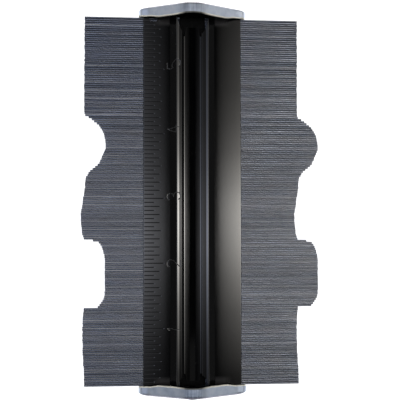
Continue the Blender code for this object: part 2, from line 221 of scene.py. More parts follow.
def sheet_path():
    """The sheet's outer face from the left edge to the right."""
    return half_path(-1)[::-1] + half_path(1)


tongue_setback = {1: 0.0068, -1: 0.0046}
flare_length = {1: 0.0103, -1: 0.0075}
tongue_taper = 0.0004
flare_mouth = 0.0073
flare_power = 0.65
slit_width = 0.0007
flare_steps = 16
hole_radius = 0.0018
hole_from_side = 0.00415
hole_from_end = 0.00273
hole_sides = 48


def end_notch(end):
    """The opening at one end of the trough: a slit on each side of a tongue, flaring to the end."""
    inner = trough_half_width - slit_width / 2
    outer = trough_half_width + slit_width / 2
    start = casing_end - flare_length[end]
    half = [(inner - tongue_taper, casing_end - tongue_setback[end]), (inner, start)]
    for step in range(flare_steps + 1):
        share = step / flare_steps
        spread = (flare_mouth - outer) * share**flare_power
        half.append((outer + spread, start + flare_length[end] * share))
    half.append((flare_mouth, casing_end + sheet))
    outline = half + [(-x, y) for x, y in reversed(half)]
    return drawn_out("notch", [(x, end * y) for x, y in outline], 0, 2 * crest_z, upright=True)


def pressed_sheet(name):
    """One stamping about the middle of the slot: section, trough ends and hanging hole."""
    outer = sheet_path()
    inner = shifted(outer, -sheet)
    for path in (outer, inner):
        for end in (0, -1):
            path[end] = (*path[end][:2], sheet_edge_radius)
    outline = bent(outer + inner[::-1], longest=arc_step)
    stamping = drawn_out(name, outline, -casing_end, casing_end)
    turns = [2 * math.pi * n / hole_sides for n in range(hole_sides)]
    hole_x = hole_from_side - casing_half_width
    hole_y = casing_end - hole_from_end
    ring = [(hole_x + hole_radius * math.cos(a), hole_y + hole_radius * math.sin(a)) for a in turns]
    hole = drawn_out("hole", ring, 0, 2 * crest_z, upright=True)
    carve(stamping, [end_notch(1), end_notch(-1), hole])
    return stamping


inch = 0.0254
divisions = 16
scale_shift = 0.00085
tick_from_edge = 0.0004
tick_reach = {16: 0.0084, 8: 0.0073, 4: 0.0068, 2: 0.0068, 1: 0.0047}
tick_run_out = 0.0005
groove_half_width = 0.00021
groove_lip_share = 0.5
groove_lip_slope = 0.12
groove_depth = 0.00006
above_sheet = 0.0001
above_face = 0.000001
stroke_step = 0.0002
numeral_height = 0.0049
numeral_width = 0.0029
numeral_foot_x = -0.00495
numeral_drift = {1: 0, 2: 0, 3: 0.0007, 4: 0.0014, 5: 0.0013}
numeral_strokes = {
    1: [[(0.25, 0.8), (0.5, 1)], [(0.5, 1), (0.5, 0)]],
    2: [
        [(0, 0.75), (0.1, 0.92), (0.35, 1), (0.7, 1), (0.95, 0.88), (1, 0.7), (0.85, 0.5), (0, 0)],
        [(0, 0), (1, 0)],
    ],
    3: [
        [(0, 0.84), (0.2, 0.97), (0.5, 1), (0.82, 0.95), (0.95, 0.76), (0.8, 0.57), (0.4, 0.53)],
        [(0.4, 0.53), (0.85, 0.47), (1, 0.27), (0.85, 0.06), (0.5, 0), (0.18, 0.03), (0, 0.18)],
    ],
    4: [[(0.7, 0), (0.7, 1)], [(0.7, 1), (0, 0.32)], [(0, 0.32), (1, 0.32)]],
    5: [
        [(0.95, 1), (0.15, 1)],
        [(0.15, 1), (0.08, 0.56)],
        [(0.08, 0.56), (0.4, 0.64), (0.75, 0.6), (1, 0.4), (0.95, 0.15), (0.7, 0), (0.3, 0), (0, 0.14)],
    ],
}


def face_height():
    """A way to find the height of the sheet's outer face above the middle of the slot, at any x."""
    skin = bent(sheet_path(), longest=arc_step)
    line = sorted((point.x, point.y) for point in skin)

    def height(x):
        place = min(max(bisect.bisect_left(line, (x, -1)), 1), len(line) - 1)
        (x0, z0), (x1, z1) = line[place - 1], line[place]
        return z0 + (z1 - z0) * (x - x0) / max(x1 - x0, 1e-9)

    return height


def groove(bm, line, height, run_out=0.0):
    """Adds a cutter that follows the sheet along a line of (x, y): a deep V between soft lips."""
    runs = [(Vector(here), Vector(there)) for here, there in zip(line, line[1:])]
    centres = [runs[0][0]]
    for here, there in runs:
        count = max(1, round((there - here).length / stroke_step))
        centres += [here.lerp(there, n / count) for n in range(1, count + 1)]
    lip = groove_half_width * groove_lip_share
    drop = groove_lip_slope * (groove_half_width - lip)
    section = [(-1, 0), (-groove_lip_share, drop), (0, groove_depth), (groove_lip_share, drop), (1, 0)]
    rows = []
    for number, centre in enumerate(centres):
        along = centres[min(number + 1, len(centres) - 1)] - centres[max(number - 1, 0)]
        side = Vector((-along.y, along.x)).normalized() * groove_half_width
        left = (centres[-1] - centre).length
        fade = min(1.0, left / run_out) if run_out else 1.0
        row = []
        for share, depth in section:
            place = centre + side * share
            row.append((place.x, place.y, height(place.x) - depth * fade + above_face))
        lid = [(x, y, z + above_sheet) for x, y, z in (row[-1], row[0])]
        rows.append([bm.verts.new(point) for point in row + lid])
    bm.faces.new(rows[0])
    bm.faces.new(rows[-1])
    for row, following in zip(rows, rows[1:]):
        for n in range(len(row)):
            bm.faces.new((row[n - 1], row[n], following[n], following[n - 1]))


def tick_cutter():
    """The scale's ticks, sixteen to the inch, each running out softly at its inner end."""
    height = face_height()
    bm = bmesh.new()
    start = -casing_half_width + tick_from_edge
    zero = scale_shift - 3 * inch
    for number in range(math.floor(2 * casing_end / inch * divisions)):
        y = zero + number * inch / divisions
        if abs(y) < casing_end - 2 * groove_half_width:
            step = max(size for size in tick_reach if number % size == 0)
            stop = -casing_half_width + tick_reach[step]
            groove(bm, [(start, y), (stop, y)], height, tick_run_out)
    return made("ticks", bm)


def numeral_cutter():
    """The numeral by each inch, its top towards the sheet's left edge, some stamped past the tick."""
    height = face_height()
    bm = bmesh.new()
    for digit, strokes in numeral_strokes.items():
        middle = scale_shift + (digit - 3) * inch + numeral_drift[digit]
        for stroke in strokes:
            line = [
                (numeral_foot_x - up * numeral_height, middle + (along - 0.5) * numeral_width)
                for along, up in stroke
            ]
            groove(bm, line, height)
    return made("numerals", bm)


def mark_stroke_bottoms(casing):
    """Marks the bottoms of the numerals' strokes, which are a lighter grey."""
    height = face_height()
    left = numeral_foot_x - numeral_height - groove_half_width
    right = numeral_foot_x + groove_half_width
    stroke_bottoms = []
    for face in casing.data.polygons:
        x, y, z = face.center
        digit = round((y - scale_shift - numeral_drift[3]) / inch) + 3
        beside = digit not in numeral_strokes or not left < x < right
        off = 1.0 if beside else abs(y - scale_shift - (digit - 3) * inch - numeral_drift[digit])
        deep = groove_depth / 4 < height(x) - z < 2 * groove_depth
        stroke_bottoms.append(1.0 if deep and off < numeral_width else 0.0)
    layer = casing.data.attributes.new("stroke_bottoms", "FLOAT", "FACE")
    layer.data.foreach_set("value", stroke_bottoms)


def builder(tree):
    """Two ways to build a node tree: add(kind, inputs, settings) and join(value, socket)."""

    def add(kind, inputs=None, **settings):
        node = tree.nodes.new(kind)
        for setting, value in settings.items():
            setattr(node, setting, value)
        for socket, value in (inputs or {}).items():
            join(value, node.inputs[socket])
        return node

    def join(value, socket):
        if isinstance(value, bpy.types.NodeSocket):
            tree.links.new(value, socket)
        else:
            socket.default_value = value

    return add, join


def finish(name):
    """A new material, its shader and the two ways to build on it."""
    material = bpy.data.materials.new(name)
    material.use_nodes = True
    shader = material.node_tree.nodes["Principled BSDF"]
    return material, shader, *builder(material.node_tree)


def stretched(add, scale):
    """Coordinates that ride with the piece, stretched by a scale along each axis."""
    place = add("ShaderNodeTexCoord").outputs["Object"]
    return add("ShaderNodeMapping", {"Vector": place, "Scale": scale}).outputs["Vector"]


def ramp(add, value, stops):
    """A colour ramp over the value, from stops of (place, colour)."""
    node = add("ShaderNodeValToRGB", {"Fac": value})
    ends = node.color_ramp.elements
    for number, (place, colour) in enumerate(stops):
        stop = ends[number] if number < 2 else ends.new(place)
        stop.position = place
        stop.color = (*colour, 1.0)
    return node.outputs["Color"]


def grey(level):
    """A colour without a tint, also for a plain value on a ramp."""
    return (level, level, level)


def cloudy(add, place, scale, detail):
    """Soft uneven patches over the coordinates, from 0 to 1."""
    patches = add("ShaderNodeTexNoise", {"Vector": place, "Scale": scale, "Detail": detail})
    return patches.outputs["Fac"]


def sum_of(add, *values, operation="ADD"):
    """The values added up, or worked out in another way."""
    return add("ShaderNodeMath", dict(enumerate(values)), operation=operation).outputs[0]


def between(add, value, start, stop, low=0.0, high=1.0):
    """A share that goes from low to high as the value goes from start to stop."""
    span = {"Value": value, "From Min": start, "From Max": stop, "To Min": low, "To Max": high}
    return add("ShaderNodeMapRange", span).outputs[0]


def blend(add, share, under, over, way="MIX"):
    """One colour laid over another by a share, or multiplied into it."""
    colours = {"Factor": share, "A": under, "B": over}
    return add("ShaderNodeMix", colours, data_type="RGBA", blend_type=way).outputs["Result"]


def uneven(add, join, shader, height, strength, distance):
    """Gives the finish a fine unevenness."""
    bump = add("ShaderNodeBump", {"Height": height, "Strength": strength, "Distance": distance})
    join(bump.outputs["Normal"], shader.inputs["Normal"])


def on_gauge(add):
    """Where a point lies on the gauge: its distance from the long middle line, its place along it."""
    place = add("ShaderNodeSeparateXYZ", {"Vector": add("ShaderNodeTexCoord").outputs["Object"]})
    across = sum_of(add, place.outputs["X"], casing_x, operation="SUBTRACT")
    return sum_of(add, across, operation="ABSOLUTE"), place.outputs["Y"]


black_haze = [(0.3, (0.0010, 0.0011, 0.0013)), (0.7, (0.0022, 0.0023, 0.0026))]
dust_grey = (0.05, 0.05, 0.05, 1.0)
# A lighter grey for the bottoms of the numerals' strokes.
stroke_bottom_grey = (0.06, 0.06, 0.06, 1.0)
# A grey band on the flanges just inside the caps' lips is a painted reflection of the lips.
lip_reflection_grey = (0.028, 0.027, 0.027, 1.0)
lip_reflection_across = (0.0125, 0.0155)
lip_reflection_along = (0.0064, 0.0050)
lip_reflection_edge = 0.0004


def black_enamel():
    """Dipped gloss black: a faint haze, fine dust, and a grey painted reflection of the caps' lips on
    the flanges beside them.

    At the bottoms of the numerals' strokes it is a lighter grey.
    """
    material, shader, add, join = finish("black_enamel")
    fine = stretched(add, (1.0, 1.0, 1.0))
    tint = ramp(add, cloudy(add, fine, 60.0, 4.0), black_haze)
    dust = ramp(add, cloudy(add, fine, 2600.0, 2.0), [(0.74, grey(0.0)), (0.80, grey(1.0))])
    tint = blend(add, dust, tint, dust_grey)
    stroke_bottoms = add("ShaderNodeAttribute", attribute_name="stroke_bottoms").outputs["Fac"]
    tint = blend(add, stroke_bottoms, tint, stroke_bottom_grey)
    across, place_along = on_gauge(add)
    along = sum_of(add, place_along, operation="ABSOLUTE")
    # Painted reflection of the caps' lips: a grey band on each flange past the ridge's foot, close by
    # the lip.
    past_foot = between(add, across, ridge_foot_x, ridge_foot_x + lip_reflection_edge)
    before_edge = between(add, across, *lip_reflection_across, low=1.0, high=0.0)
    by_lip = between(add, along, *(casing_end - reach for reach in lip_reflection_along))
    lip_reflection_share = sum_of(add, past_foot, before_edge, operation="MULTIPLY")
    lip_reflection_share = sum_of(add, lip_reflection_share, by_lip, operation="MULTIPLY")
    join(blend(add, lip_reflection_share, tint, lip_reflection_grey), shader.inputs["Base Color"])
    rub = cloudy(add, stretched(add, (1.0, 0.05, 1.0)), 900.0, 5.0)
    join(ramp(add, rub, [(0.35, grey(0.03)), (0.75, grey(0.055))]), shader.inputs["Roughness"])
    uneven(add, join, shader, cloudy(add, fine, 500.0, 2.0), 0.004, 0.0002)
    return material


enamel = black_enamel()
front = pressed_sheet("front_casing_sheet")
carve(front, [tick_cutter()])
carve(front, [numeral_cutter()], crossing=True)
mark_stroke_bottoms(front)
front.data.transform(Matrix.Translation((casing_x, 0, middle_z)))
rear = pressed_sheet("rear_casing_sheet")
turned_over = Matrix.Rotation(math.pi, 4, "Y")
rear.data.transform(Matrix.Translation((casing_x, 0, middle_z)) @ turned_over)
for casing, node in ((front, "front_casing"), (rear, "rear_casing")):
    smooth(casing, sheet_crease)
    casing.data.materials.clear()
    casing.data.materials.append(enamel)
    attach(casing, "casing")
    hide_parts(node)

# Friction strips
# Two strips of black felt lie along the troughs and press on the wires from both sides.
# They are cut from the roll, so their edges are a little furry and their faces uneven.
felt_rows = 240
felt_columns = 16
felt_fuzz = 0.00004
felt_crease = math.radians(60)


def black_felt():
    """Pressed wool fibre: matt, mottled and rough to the touch."""
    material, shader, add, join = finish("black_felt")
    fibre = cloudy(add, stretched(add, (1.0, 1.0, 1.0)), 3000.0, 6.0)
    # The felt's near-black is partly its own black and partly painted shade for the depth of the
    # trough.
    join(ramp(add, fibre, [(0.35, grey(0.002)), (0.7, grey(0.009))]), shader.inputs["Base Color"])
    uneven(add, join, shader, fibre, 0.7, 0.0001)
    shader.inputs["Roughness"].default_value = 0.95
    shader.inputs["Specular IOR Level"].default_value = 0.1
    return material


felt = black_felt()
fuzz = random.Random(11)
for side in ("front", "rear"):
    node = f"{side}_friction_strip"
    low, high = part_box(node)
    bm = bmesh.new()
    layers = []
    for z in (low.z + felt_fuzz, high.z - felt_fuzz):
        layer = []
        for row in range(felt_rows + 1):
            y = low.y + felt_fuzz + (high.y - low.y - 2 * felt_fuzz) * row / felt_rows
            across = [
                low.x + felt_fuzz + (high.x - low.x - 2 * felt_fuzz) * n / felt_columns
                for n in range(felt_columns + 1)
            ]
            layer.append([])
            for x in across:
                place = [c + fuzz.uniform(-felt_fuzz, felt_fuzz) for c in (x, y, z)]
                layer[-1].append(bm.verts.new(place))
        layers.append(layer)
        for row, following in zip(layer, layer[1:]):
            for n in range(felt_columns):
                bm.faces.new((row[n], row[n + 1], following[n + 1], following[n]))
    rims = []
    for layer in layers:
        rim = layer[0][:-1] + [row[-1] for row in layer[:-1]]
        rim += layer[-1][:0:-1] + [row[0] for row in layer[:0:-1]]
        rims.append(rim)
    for n in range(len(rims[0])):
        bm.faces.new((rims[0][n - 1], rims[0][n], rims[1][n], rims[1][n - 1]))
    strip = made(f"{side}_felt", bm)
    smooth(strip, felt_crease)
    strip.data.materials.append(felt)
    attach(strip, "casing")
    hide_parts(node)

# Wires
# A row of drawn steel wires, cropped to one length, lies side by side in the slot. Each slides by
# itself and stays where the profile pushed it. Every wire differs a little in tone and straightness.
wire_sides = 14
wire_play = 0.00001
tip_chamfer = 0.00007
bow_places = (0.12, 0.25, 0.4, 0.6, 0.75, 0.88)
wire_bow = 0.000035
tone_evenness = 2.6
wire_crease = math.radians(50)


def drawn_wire():
    """Drawn steel: lengthwise die marks, a tone of its own for each wire, faint brown bloom."""
    material, shader, add, join = finish("drawn_wire")
    tone = add("ShaderNodeAttribute", attribute_name="wire_tone").outputs["Fac"]
    tint = ramp(add, tone, [(0.0, (0.10, 0.115, 0.145)), (1.0, (0.205, 0.222, 0.268))])
    bloom = cloudy(add, stretched(add, (1.0, 6.0, 1.0)), 90.0, 5.0)
    brown = ramp(add, bloom, [(0.35, (1.0, 1.0, 1.0)), (0.75, (1.02, 0.94, 0.86))])
    tint = blend(add, 1.0, tint, brown, "MULTIPLY")
    marks = cloudy(add, stretched(add, (1.0, 60.0, 60.0)), 120.0, 4.0)
    streak = ramp(add, marks, [(0.3, grey(0.86)), (0.7, grey(1.1))])
    join(blend(add, 1.0, tint, streak, "MULTIPLY"), shader.inputs["Base Color"])
    join(ramp(add, marks, [(0.3, grey(0.24)), (0.7, grey(0.36))]), shader.inputs["Roughness"])
    uneven(add, join, shader, marks, 0.15, 0.00005)
    shader.inputs["Metallic"].default_value = 1.0
    return material


def wires_of(node):
    """Each wire of a bank as (y, left tip, right tip), read from the corners of its own flats."""
    low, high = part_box(node)
    diameter = high.z - low.z
    count = round((high.y - low.y) / diameter)
    corners = [vert.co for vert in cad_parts[node].data.vertices]
    found = []
    for number in range(count):
        y = low.y + diameter * (number + 0.5)
        own = [corner.x for corner in corners if abs(corner.y - y) < diameter / 4]
        found.append((y, min(own), max(own)))
    return found, diameter / 2


steel_wire = drawn_wire()
draw = random.Random(29)
banks = [node for node in sorted(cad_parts) if node.startswith("pin_bank_")]
for node in banks:
    bm = bmesh.new()
    tones = []
    wires, radius = wires_of(node)
    radius -= wire_play
    for y, left, right in wires:
        tone = draw.betavariate(tone_evenness, tone_evenness)
        turn_in = draw.uniform(0, 2 * math.pi)
        rings = []
        length = right - left
        stations = [(left, radius - tip_chamfer), (left + tip_chamfer, radius)]
        stations += [(left + length * share, radius) for share in bow_places]
        stations += [(right - tip_chamfer, radius), (right, radius - tip_chamfer)]
        bend = draw.uniform(-wire_bow, wire_bow)
        twist = draw.uniform(-wire_bow, wire_bow)
        for x, reach in stations:
            out = 2 * (x - left) / length - 1
            lift = bend * out * out + twist * out
            ring = []
            for side in range(wire_sides):
                angle = turn_in + 2 * math.pi * side / wire_sides
                across, up = reach * math.cos(angle), reach * math.sin(angle)
                ring.append(bm.verts.new((x, y + across, middle_z + lift + up)))
            rings.append(ring)
        bm.faces.new(rings[0])
        bm.faces.new(rings[-1])
        tones += [tone, tone]
        for ring, following in zip(rings, rings[1:]):
            for side in range(wire_sides):
                before = side - 1
                bm.faces.new((ring[before], ring[side], following[side], following[before]))
                tones.append(tone)
    bank = made(f"{node}_wires", bm)
    layer = bank.data.attributes.new("wire_tone", "FLOAT", "FACE")
    layer.data.foreach_set("value", tones)
    smooth(bank, wire_crease)
    bank.data.materials.append(steel_wire)
    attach(bank, node)
    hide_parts(node)

# End blocks
# Small steel spacers between the flanges, one past each end of the row of wires. Their
# near-black colour with almost no gloss is painted shade for the dark hollow at each end of the trough.
# They set the width of the slot, and a round boss on each is tapped for the cap's screw.


def machined_steel(name, colour, roughness):
    """Machined steel with fine turning marks, a little darker in places, and its shader."""
    material, shader, add, join = finish(name)
    grain = cloudy(add, stretched(add, (1.0, 8.0, 1.0)), 1400.0, 5.0)
    darker = tuple(0.7 * channel for channel in colour)
    join(ramp(add, grain, [(0.3, darker), (0.7, colour)]), shader.inputs["Base Color"])
    matt = ramp(add, grain, [(0.3, grey(roughness)), (0.7, grey(roughness + 0.15))])
    join(matt, shader.inputs["Roughness"])
    uneven(add, join, shader, grain, 0.15, 0.00005)
    return material, shader


# Painted shade: the blocks are near black with almost no gloss, for the dark hollow they sit in.
block_steel_painted_shade, shader = machined_steel("block_steel_painted_shade", (0.003, 0.003, 0.004), 0.75)
shader.inputs["Specular IOR Level"].default_value = 0.03
for label in ("top", "bottom"):
    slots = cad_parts[f"{label}_end_block"].data.materials
    slots.clear()
    slots.append(block_steel_painted_shade)

# End caps
# Trays drawn from zinc-plated sheet steel, whose lips arch over the ridges of both casings. The
# zinc is bluish and blotched, with draw marks at the crown. A warm painted reflection runs along
# the fold, and painted shade makes the bottom cap darker and bluer. The lips' bare cut edge is
# painted pale as a highlight.
cap_sheet = 0.0008
cap_crown_half_width = 0.0028
cap_side_flat = 0.0041
cap_crown_radius = 0.008
cap_foot_rise = 0.0007
cap_foot_radius = 0.006
cap_side_radius = 0.0017
cap_fold_radius = 0.0013
cap_rim = ((0.00018, 0), (0.00009, 0.00003), (0.00006, 0.0001), (0, 0.00042))
cap_wall_cuts = (14, 4, 3, 4, 14, 6)
cap_flange_gap = 0.0001
cap_crease = math.radians(9)
cap_bow = 0.0009
cap_bow_from = 0.0165
lip_depth_crown = 0.0042
lip_depth_slope = 0.0046
lip_depth_foot = 0.0039
side_wall_depth = 0.003
lip_slope_from = 0.0085
lip_fall = 0.004
fold_steps = 12
# How far from the fold the painted reflection along it reaches.
fold_reflection_reach = 0.0009
face_margin = 0.0003
screw_hole_radius = 0.00135

cap_low, cap_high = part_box("top_end_cap")
cap_half_width = (cap_high.x - cap_low.x) / 2
cap_crown_z = (cap_high.z - cap_low.z) / 2
cap_end = cap_high.y
cap_side_z = flange_z + cap_flange_gap + cap_sheet
cap_foot_x = cap_half_width - cap_side_flat


def cap_outline(inset):
    """The cap's outline seen along the casing, drawn in by an inset, counter-clockwise."""
    quarter = [
        (cap_crown_half_width, -cap_crown_z, cap_crown_radius),
        (cap_foot_x, -cap_side_z - cap_foot_rise, cap_foot_radius),
        (cap_half_width, -cap_side_z, cap_side_radius),
        (cap_half_width, cap_side_z, cap_side_radius),
        (cap_foot_x, cap_side_z + cap_foot_rise, cap_foot_radius),
        (cap_crown_half_width, cap_crown_z, cap_crown_radius),
    ]
    whole = quarter + [(-x, -z, radius) for x, z, radius in quarter]
    round_trip = shifted([whole[-1], *whole, whole[0]], inset)[1:-1]
    return bent(round_trip, cap_wall_cuts * 2)


def soft_step(value, low, high):
    """A share that eases from 0 to 1 between low and high."""
    share = min(1.0, max(0.0, (value - low) / (high - low)))
    return share * share * (3 - 2 * share)


def lip_depth(place):
    """How far the wall reaches from the cap's end face at a place of its outline."""
    away = abs(place.x)
    depth = lip_depth_crown
    depth += (lip_depth_slope - lip_depth_crown) * soft_step(away, 0, lip_slope_from)
    depth -= (lip_depth_slope - lip_depth_foot) * soft_step(away, cap_foot_x - lip_fall, cap_foot_x)
    if away > cap_foot_x:
        low = cap_side_z - cap_side_radius
        beside = 1 - soft_step(abs(place.y), low, cap_side_z)
        depth -= (lip_depth_foot - side_wall_depth) * beside
    return depth


def face_bow(place):
    """How far the end face falls back towards the cap's two sides."""
    share = max(0.0, abs(place.x) - cap_bow_from) / (cap_half_width - cap_bow_from)
    return cap_bow * share * share


def drawn_cap(name, end):
    """The tray: end face with a hole for the screw, rolled fold, wall and a softly rounded rim."""
    edge = cap_outline(0)

    def ring(inset, setback_of):
        """The outline drawn in by an inset, each place as far behind the end face as it asks."""
        return [
            (casing_x + p.x, end * (cap_end - setback_of(e)), middle_z + p.y)
            for p, e in zip(cap_outline(inset), edge)
        ]

    def face(skin):
        """The bowed end face: the edge of its flat, a ring halfway in, and the screw's hole."""
        hole = [point.normalized() * screw_hole_radius for point in edge]
        flat = cap_outline(cap_fold_radius + face_margin)
        halfway = [near.lerp(far, 0.5) for near, far in zip(flat, hole)]
        return [
            [(casing_x + p.x, end * (cap_end - skin - face_bow(p)), middle_z + p.y) for p in place]
            for place in (flat, halfway, hole)
        ]

    turns = [math.pi / 2 * n / fold_steps for n in range(fold_steps + 1)]

    def fold(skin):
        """The rolled fold from the wall up to the end face."""
        radius = cap_fold_radius - skin
        return [
            ring(
                skin + radius * (1 - math.cos(a)),
                lambda e, a=a: skin + radius * (1 - math.sin(a)) + face_bow(e) * math.sin(a),
            )
            for a in turns
        ]

    def rim(inner):
        """The wall's free edge, rounded from the middle of the sheet to one of its sides."""
        return [
            ring(cap_sheet - inset if inner else inset, lambda e, back=back: lip_depth(e) - back)
            for inset, back in cap_rim
        ]

    outside = [*rim(False), *fold(0), *face(0)]
    inside = [*rim(True), *fold(cap_sheet), *face(cap_sheet)]
    bm = bmesh.new()
    rows = [[bm.verts.new(point) for point in row] for row in outside + inside[::-1]]
    cut_edge = []
    for number, (row, following) in enumerate(zip(rows, rows[1:] + rows[:1])):
        bare = 1.0 if number < len(cap_rim) - 1 or number == len(rows) - 1 else 0.0
        for n in range(len(row)):
            bm.faces.new((row[n - 1], row[n], following[n], following[n - 1]))
            cut_edge.append(bare)
    cap = made(name, bm)
    layer = cap.data.attributes.new("cut_edge", "FLOAT", "FACE")
    layer.data.foreach_set("value", cut_edge)
    # The painted reflection along the fold: strongest where the fold meets the end face, fading towards
    # the wall.
    setbacks = [cap_fold_radius * (1 - math.sin(a)) for a in turns]
    reflection_share = [0.0] * len(cap_rim) + [max(0.0, 1 - setback / fold_reflection_reach) for setback in setbacks]
    reflection_share += [0.0] * (len(rows) - len(reflection_share))
    layer = cap.data.attributes.new("fold_reflection", "FLOAT", "POINT")
    layer.data.foreach_set("value", [share for share, row in zip(reflection_share, rows) for _ in row])
    return cap


zinc_blotches = [(0.3, (0.56, 0.62, 0.73)), (0.5, (0.69, 0.76, 0.88)), (0.72, (0.80, 0.85, 0.94))]
crown_marks_fade = (0.003, 0.006)
# Painted shade: the bottom cap is made darker and bluer.
bottom_shade_from = 0.07
bottom_shade_strength = 0.26
bottom_shade_blue = (0.0, 0.06, 0.16, 1.0)
# Painted reflection along the fold: warm on the top cap, darker and redder on the bottom cap.
fold_reflection_strength = 0.85
top_fold_reflection = (0.42, 0.34, 0.32, 1.0)
bottom_fold_reflection = (0.17, 0.07, 0.06, 1.0)
# Painted highlight on the lips' bare cut edge, and the grey it takes at the crown, where none is
# painted.
edge_highlight_pale = (1.0, 0.97, 0.84, 1.0)
edge_no_highlight_grey = (0.10, 0.10, 0.09, 1.0)


def zinc_plate():
    """Bluish blotched zinc with grey draw marks at the crown, and a warm painted reflection along the
    fold.

    Towards the bottom cap painted shade makes it darker and bluer. The cut edge of the lip is bare and
    matt, painted pale and not metal as a highlight, and grey at the crown where no highlight is
    painted.
    """
    material, shader, add, join = finish("zinc_plate")
    blotch = cloudy(add, stretched(add, (1.0, 1.0, 1.0)), 320.0, 6.0)
    tint = ramp(add, blotch, zinc_blotches)
    draw_marks = cloudy(add, stretched(add, (1.0, 0.03, 0.12)), 2200.0, 3.0)
    across, along = on_gauge(add)
    at_crown = between(add, across, *crown_marks_fade, low=1.0, high=0.15)
    lines = ramp(add, draw_marks, [(0.35, grey(0.42)), (0.65, grey(0.62))])
    tint = blend(add, at_crown, tint, lines, "MULTIPLY")
    low_end = between(add, along, -bottom_shade_from, bottom_shade_from, low=1.0, high=0.0)
    # The painted reflection along the fold, darker and redder on the bottom cap.
    brown = blend(add, low_end, top_fold_reflection, bottom_fold_reflection)
    reflection_share = add("ShaderNodeAttribute", attribute_name="fold_reflection").outputs["Fac"]
    tint = blend(add, sum_of(add, reflection_share, fold_reflection_strength, operation="MULTIPLY"), tint, brown)
    # Painted shade on the bottom cap: darker and bluer.
    bottom_shade = sum_of(add, low_end, bottom_shade_strength, operation="MULTIPLY")
    tint = blend(add, bottom_shade, tint, bottom_shade_blue)
    # The lips' bare cut edge is painted pale and not metal, as a highlight. At the crown it is grey.
    edge = add("ShaderNodeAttribute", attribute_name="cut_edge").outputs["Fac"]
    edge_highlight = blend(add, at_crown, edge_highlight_pale, edge_no_highlight_grey)
    join(blend(add, edge, tint, edge_highlight), shader.inputs["Base Color"])
    matt = ramp(add, blotch, [(0.3, grey(0.40)), (0.7, grey(0.30))])
    rough = sum_of(add, at_crown, 0.2, matt, operation="MULTIPLY_ADD")
    join(rough, shader.inputs["Roughness"])
    join(sum_of(add, 1.0, edge, operation="SUBTRACT"), shader.inputs["Metallic"])
    uneven(add, join, shader, draw_marks, 0.12, 0.0001)
    return material


zinc = zinc_plate()
for label, end in (("top", 1), ("bottom", -1)):
    cap = drawn_cap(f"{label}_end_cap_tray", end)
    smooth(cap, cap_crease)
    cap.data.materials.append(zinc)
    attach(cap, "casing")
    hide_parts(f"{label}_end_cap")

# Cap screws
# One small pan-head screw of bright steel through each cap into its end block. The head is
# cold-headed with a cross recess, and the thread runs up to it.
head_round = 0.0009
head_crown = 0.00025
head_steps = 8
screw_sides = 48
recess_span = 0.0030
recess_width = 0.0007
recess_depth = 0.0012
recess_taper = 0.6
thread_pitch = 0.00045
thread_depth = 0.00022
tip_setback = 0.0009
shank_clearance = 0.0001
head_clearance = 0.00005
screw_crease = math.radians(35)
square = ((-1, -1), (1, -1), (1, 1), (-1, 1))


def pan_head(name, low, high, end):
    """A screw about Y: ringed shank, flat seat and a domed pan head with a cross recess."""
    head_radius = (high.x - low.x) / 2
    shank_radius = screw_hole_radius - shank_clearance
    tip, top = (low.y, high.y) if end > 0 else (-high.y, -low.y)
    tip += tip_setback
    seat = cap_end + head_clearance
    profile = []
    threads = int((seat - tip) / thread_pitch)
    for n in range(threads):
        base = tip + n * thread_pitch
        profile.append((shank_radius - thread_depth, base))
        profile.append((shank_radius, base + thread_pitch / 2))
    profile += [(shank_radius - thread_depth, seat), (head_radius - head_crown / 2, seat)]
    for n in range(head_steps + 1):
        a = math.pi / 2 * n / head_steps
        reach = head_radius - head_round * (1 - math.cos(a))
        profile.append((reach, top - head_crown - head_round * (1 - math.sin(a))))
    profile.append((head_radius / 2, top - head_crown / 4))
    bm = bmesh.new()
    rows = []
    for radius, level in profile:
        turns = [2 * math.pi * n / screw_sides for n in range(screw_sides)]
        ring = [(radius * math.cos(a), end * level, radius * math.sin(a)) for a in turns]
        rows.append([bm.verts.new((casing_x + x, y, middle_z + z)) for x, y, z in ring])
    bm.faces.new(rows[0])
    crown = bm.verts.new((casing_x, end * top, middle_z))
    for n in range(screw_sides):
        bm.faces.new((rows[-1][n - 1], rows[-1][n], crown))
    for row, following in zip(rows, rows[1:]):
        for n in range(screw_sides):
            bm.faces.new((row[n - 1], row[n], following[n], following[n - 1]))
    screw = made(name, bm)
    slots = []
    for long_way, short_way in ((recess_span, recess_width), (recess_width, recess_span)):
        bm = bmesh.new()
        mouth, bottom = [], []
        ends = ((top + head_crown, 1.0, mouth), (top - recess_depth, recess_taper, bottom))
        for level, taper, row in ends:
            x = long_way / 2 * (taper if long_way > short_way else 1.0)
            z = short_way / 2 * (taper if short_way > long_way else 1.0)
            for sx, sz in square:
                row.append(bm.verts.new((casing_x + sx * x, end * level, middle_z + sz * z)))
        bm.faces.new(mouth)
        bm.faces.new(bottom)
        for n in range(4):
            bm.faces.new((mouth[n - 1], mouth[n], bottom[n], bottom[n - 1]))
        slots.append(made("recess", bm))
    carve(screw, slots)
    return screw


screw_steel, shader = machined_steel("screw_steel", (0.24, 0.25, 0.28), 0.34)
shader.inputs["Metallic"].default_value = 1.0
for label, end in (("top", 1), ("bottom", -1)):
    node = f"{label}_cap_screw"
    screw = pan_head(f"{label}_pan_head_screw", *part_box(node), end)
    smooth(screw, screw_crease)
    screw.data.materials.clear()
    screw.data.materials.append(screw_steel)
    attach(screw, "casing")
    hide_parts(node)

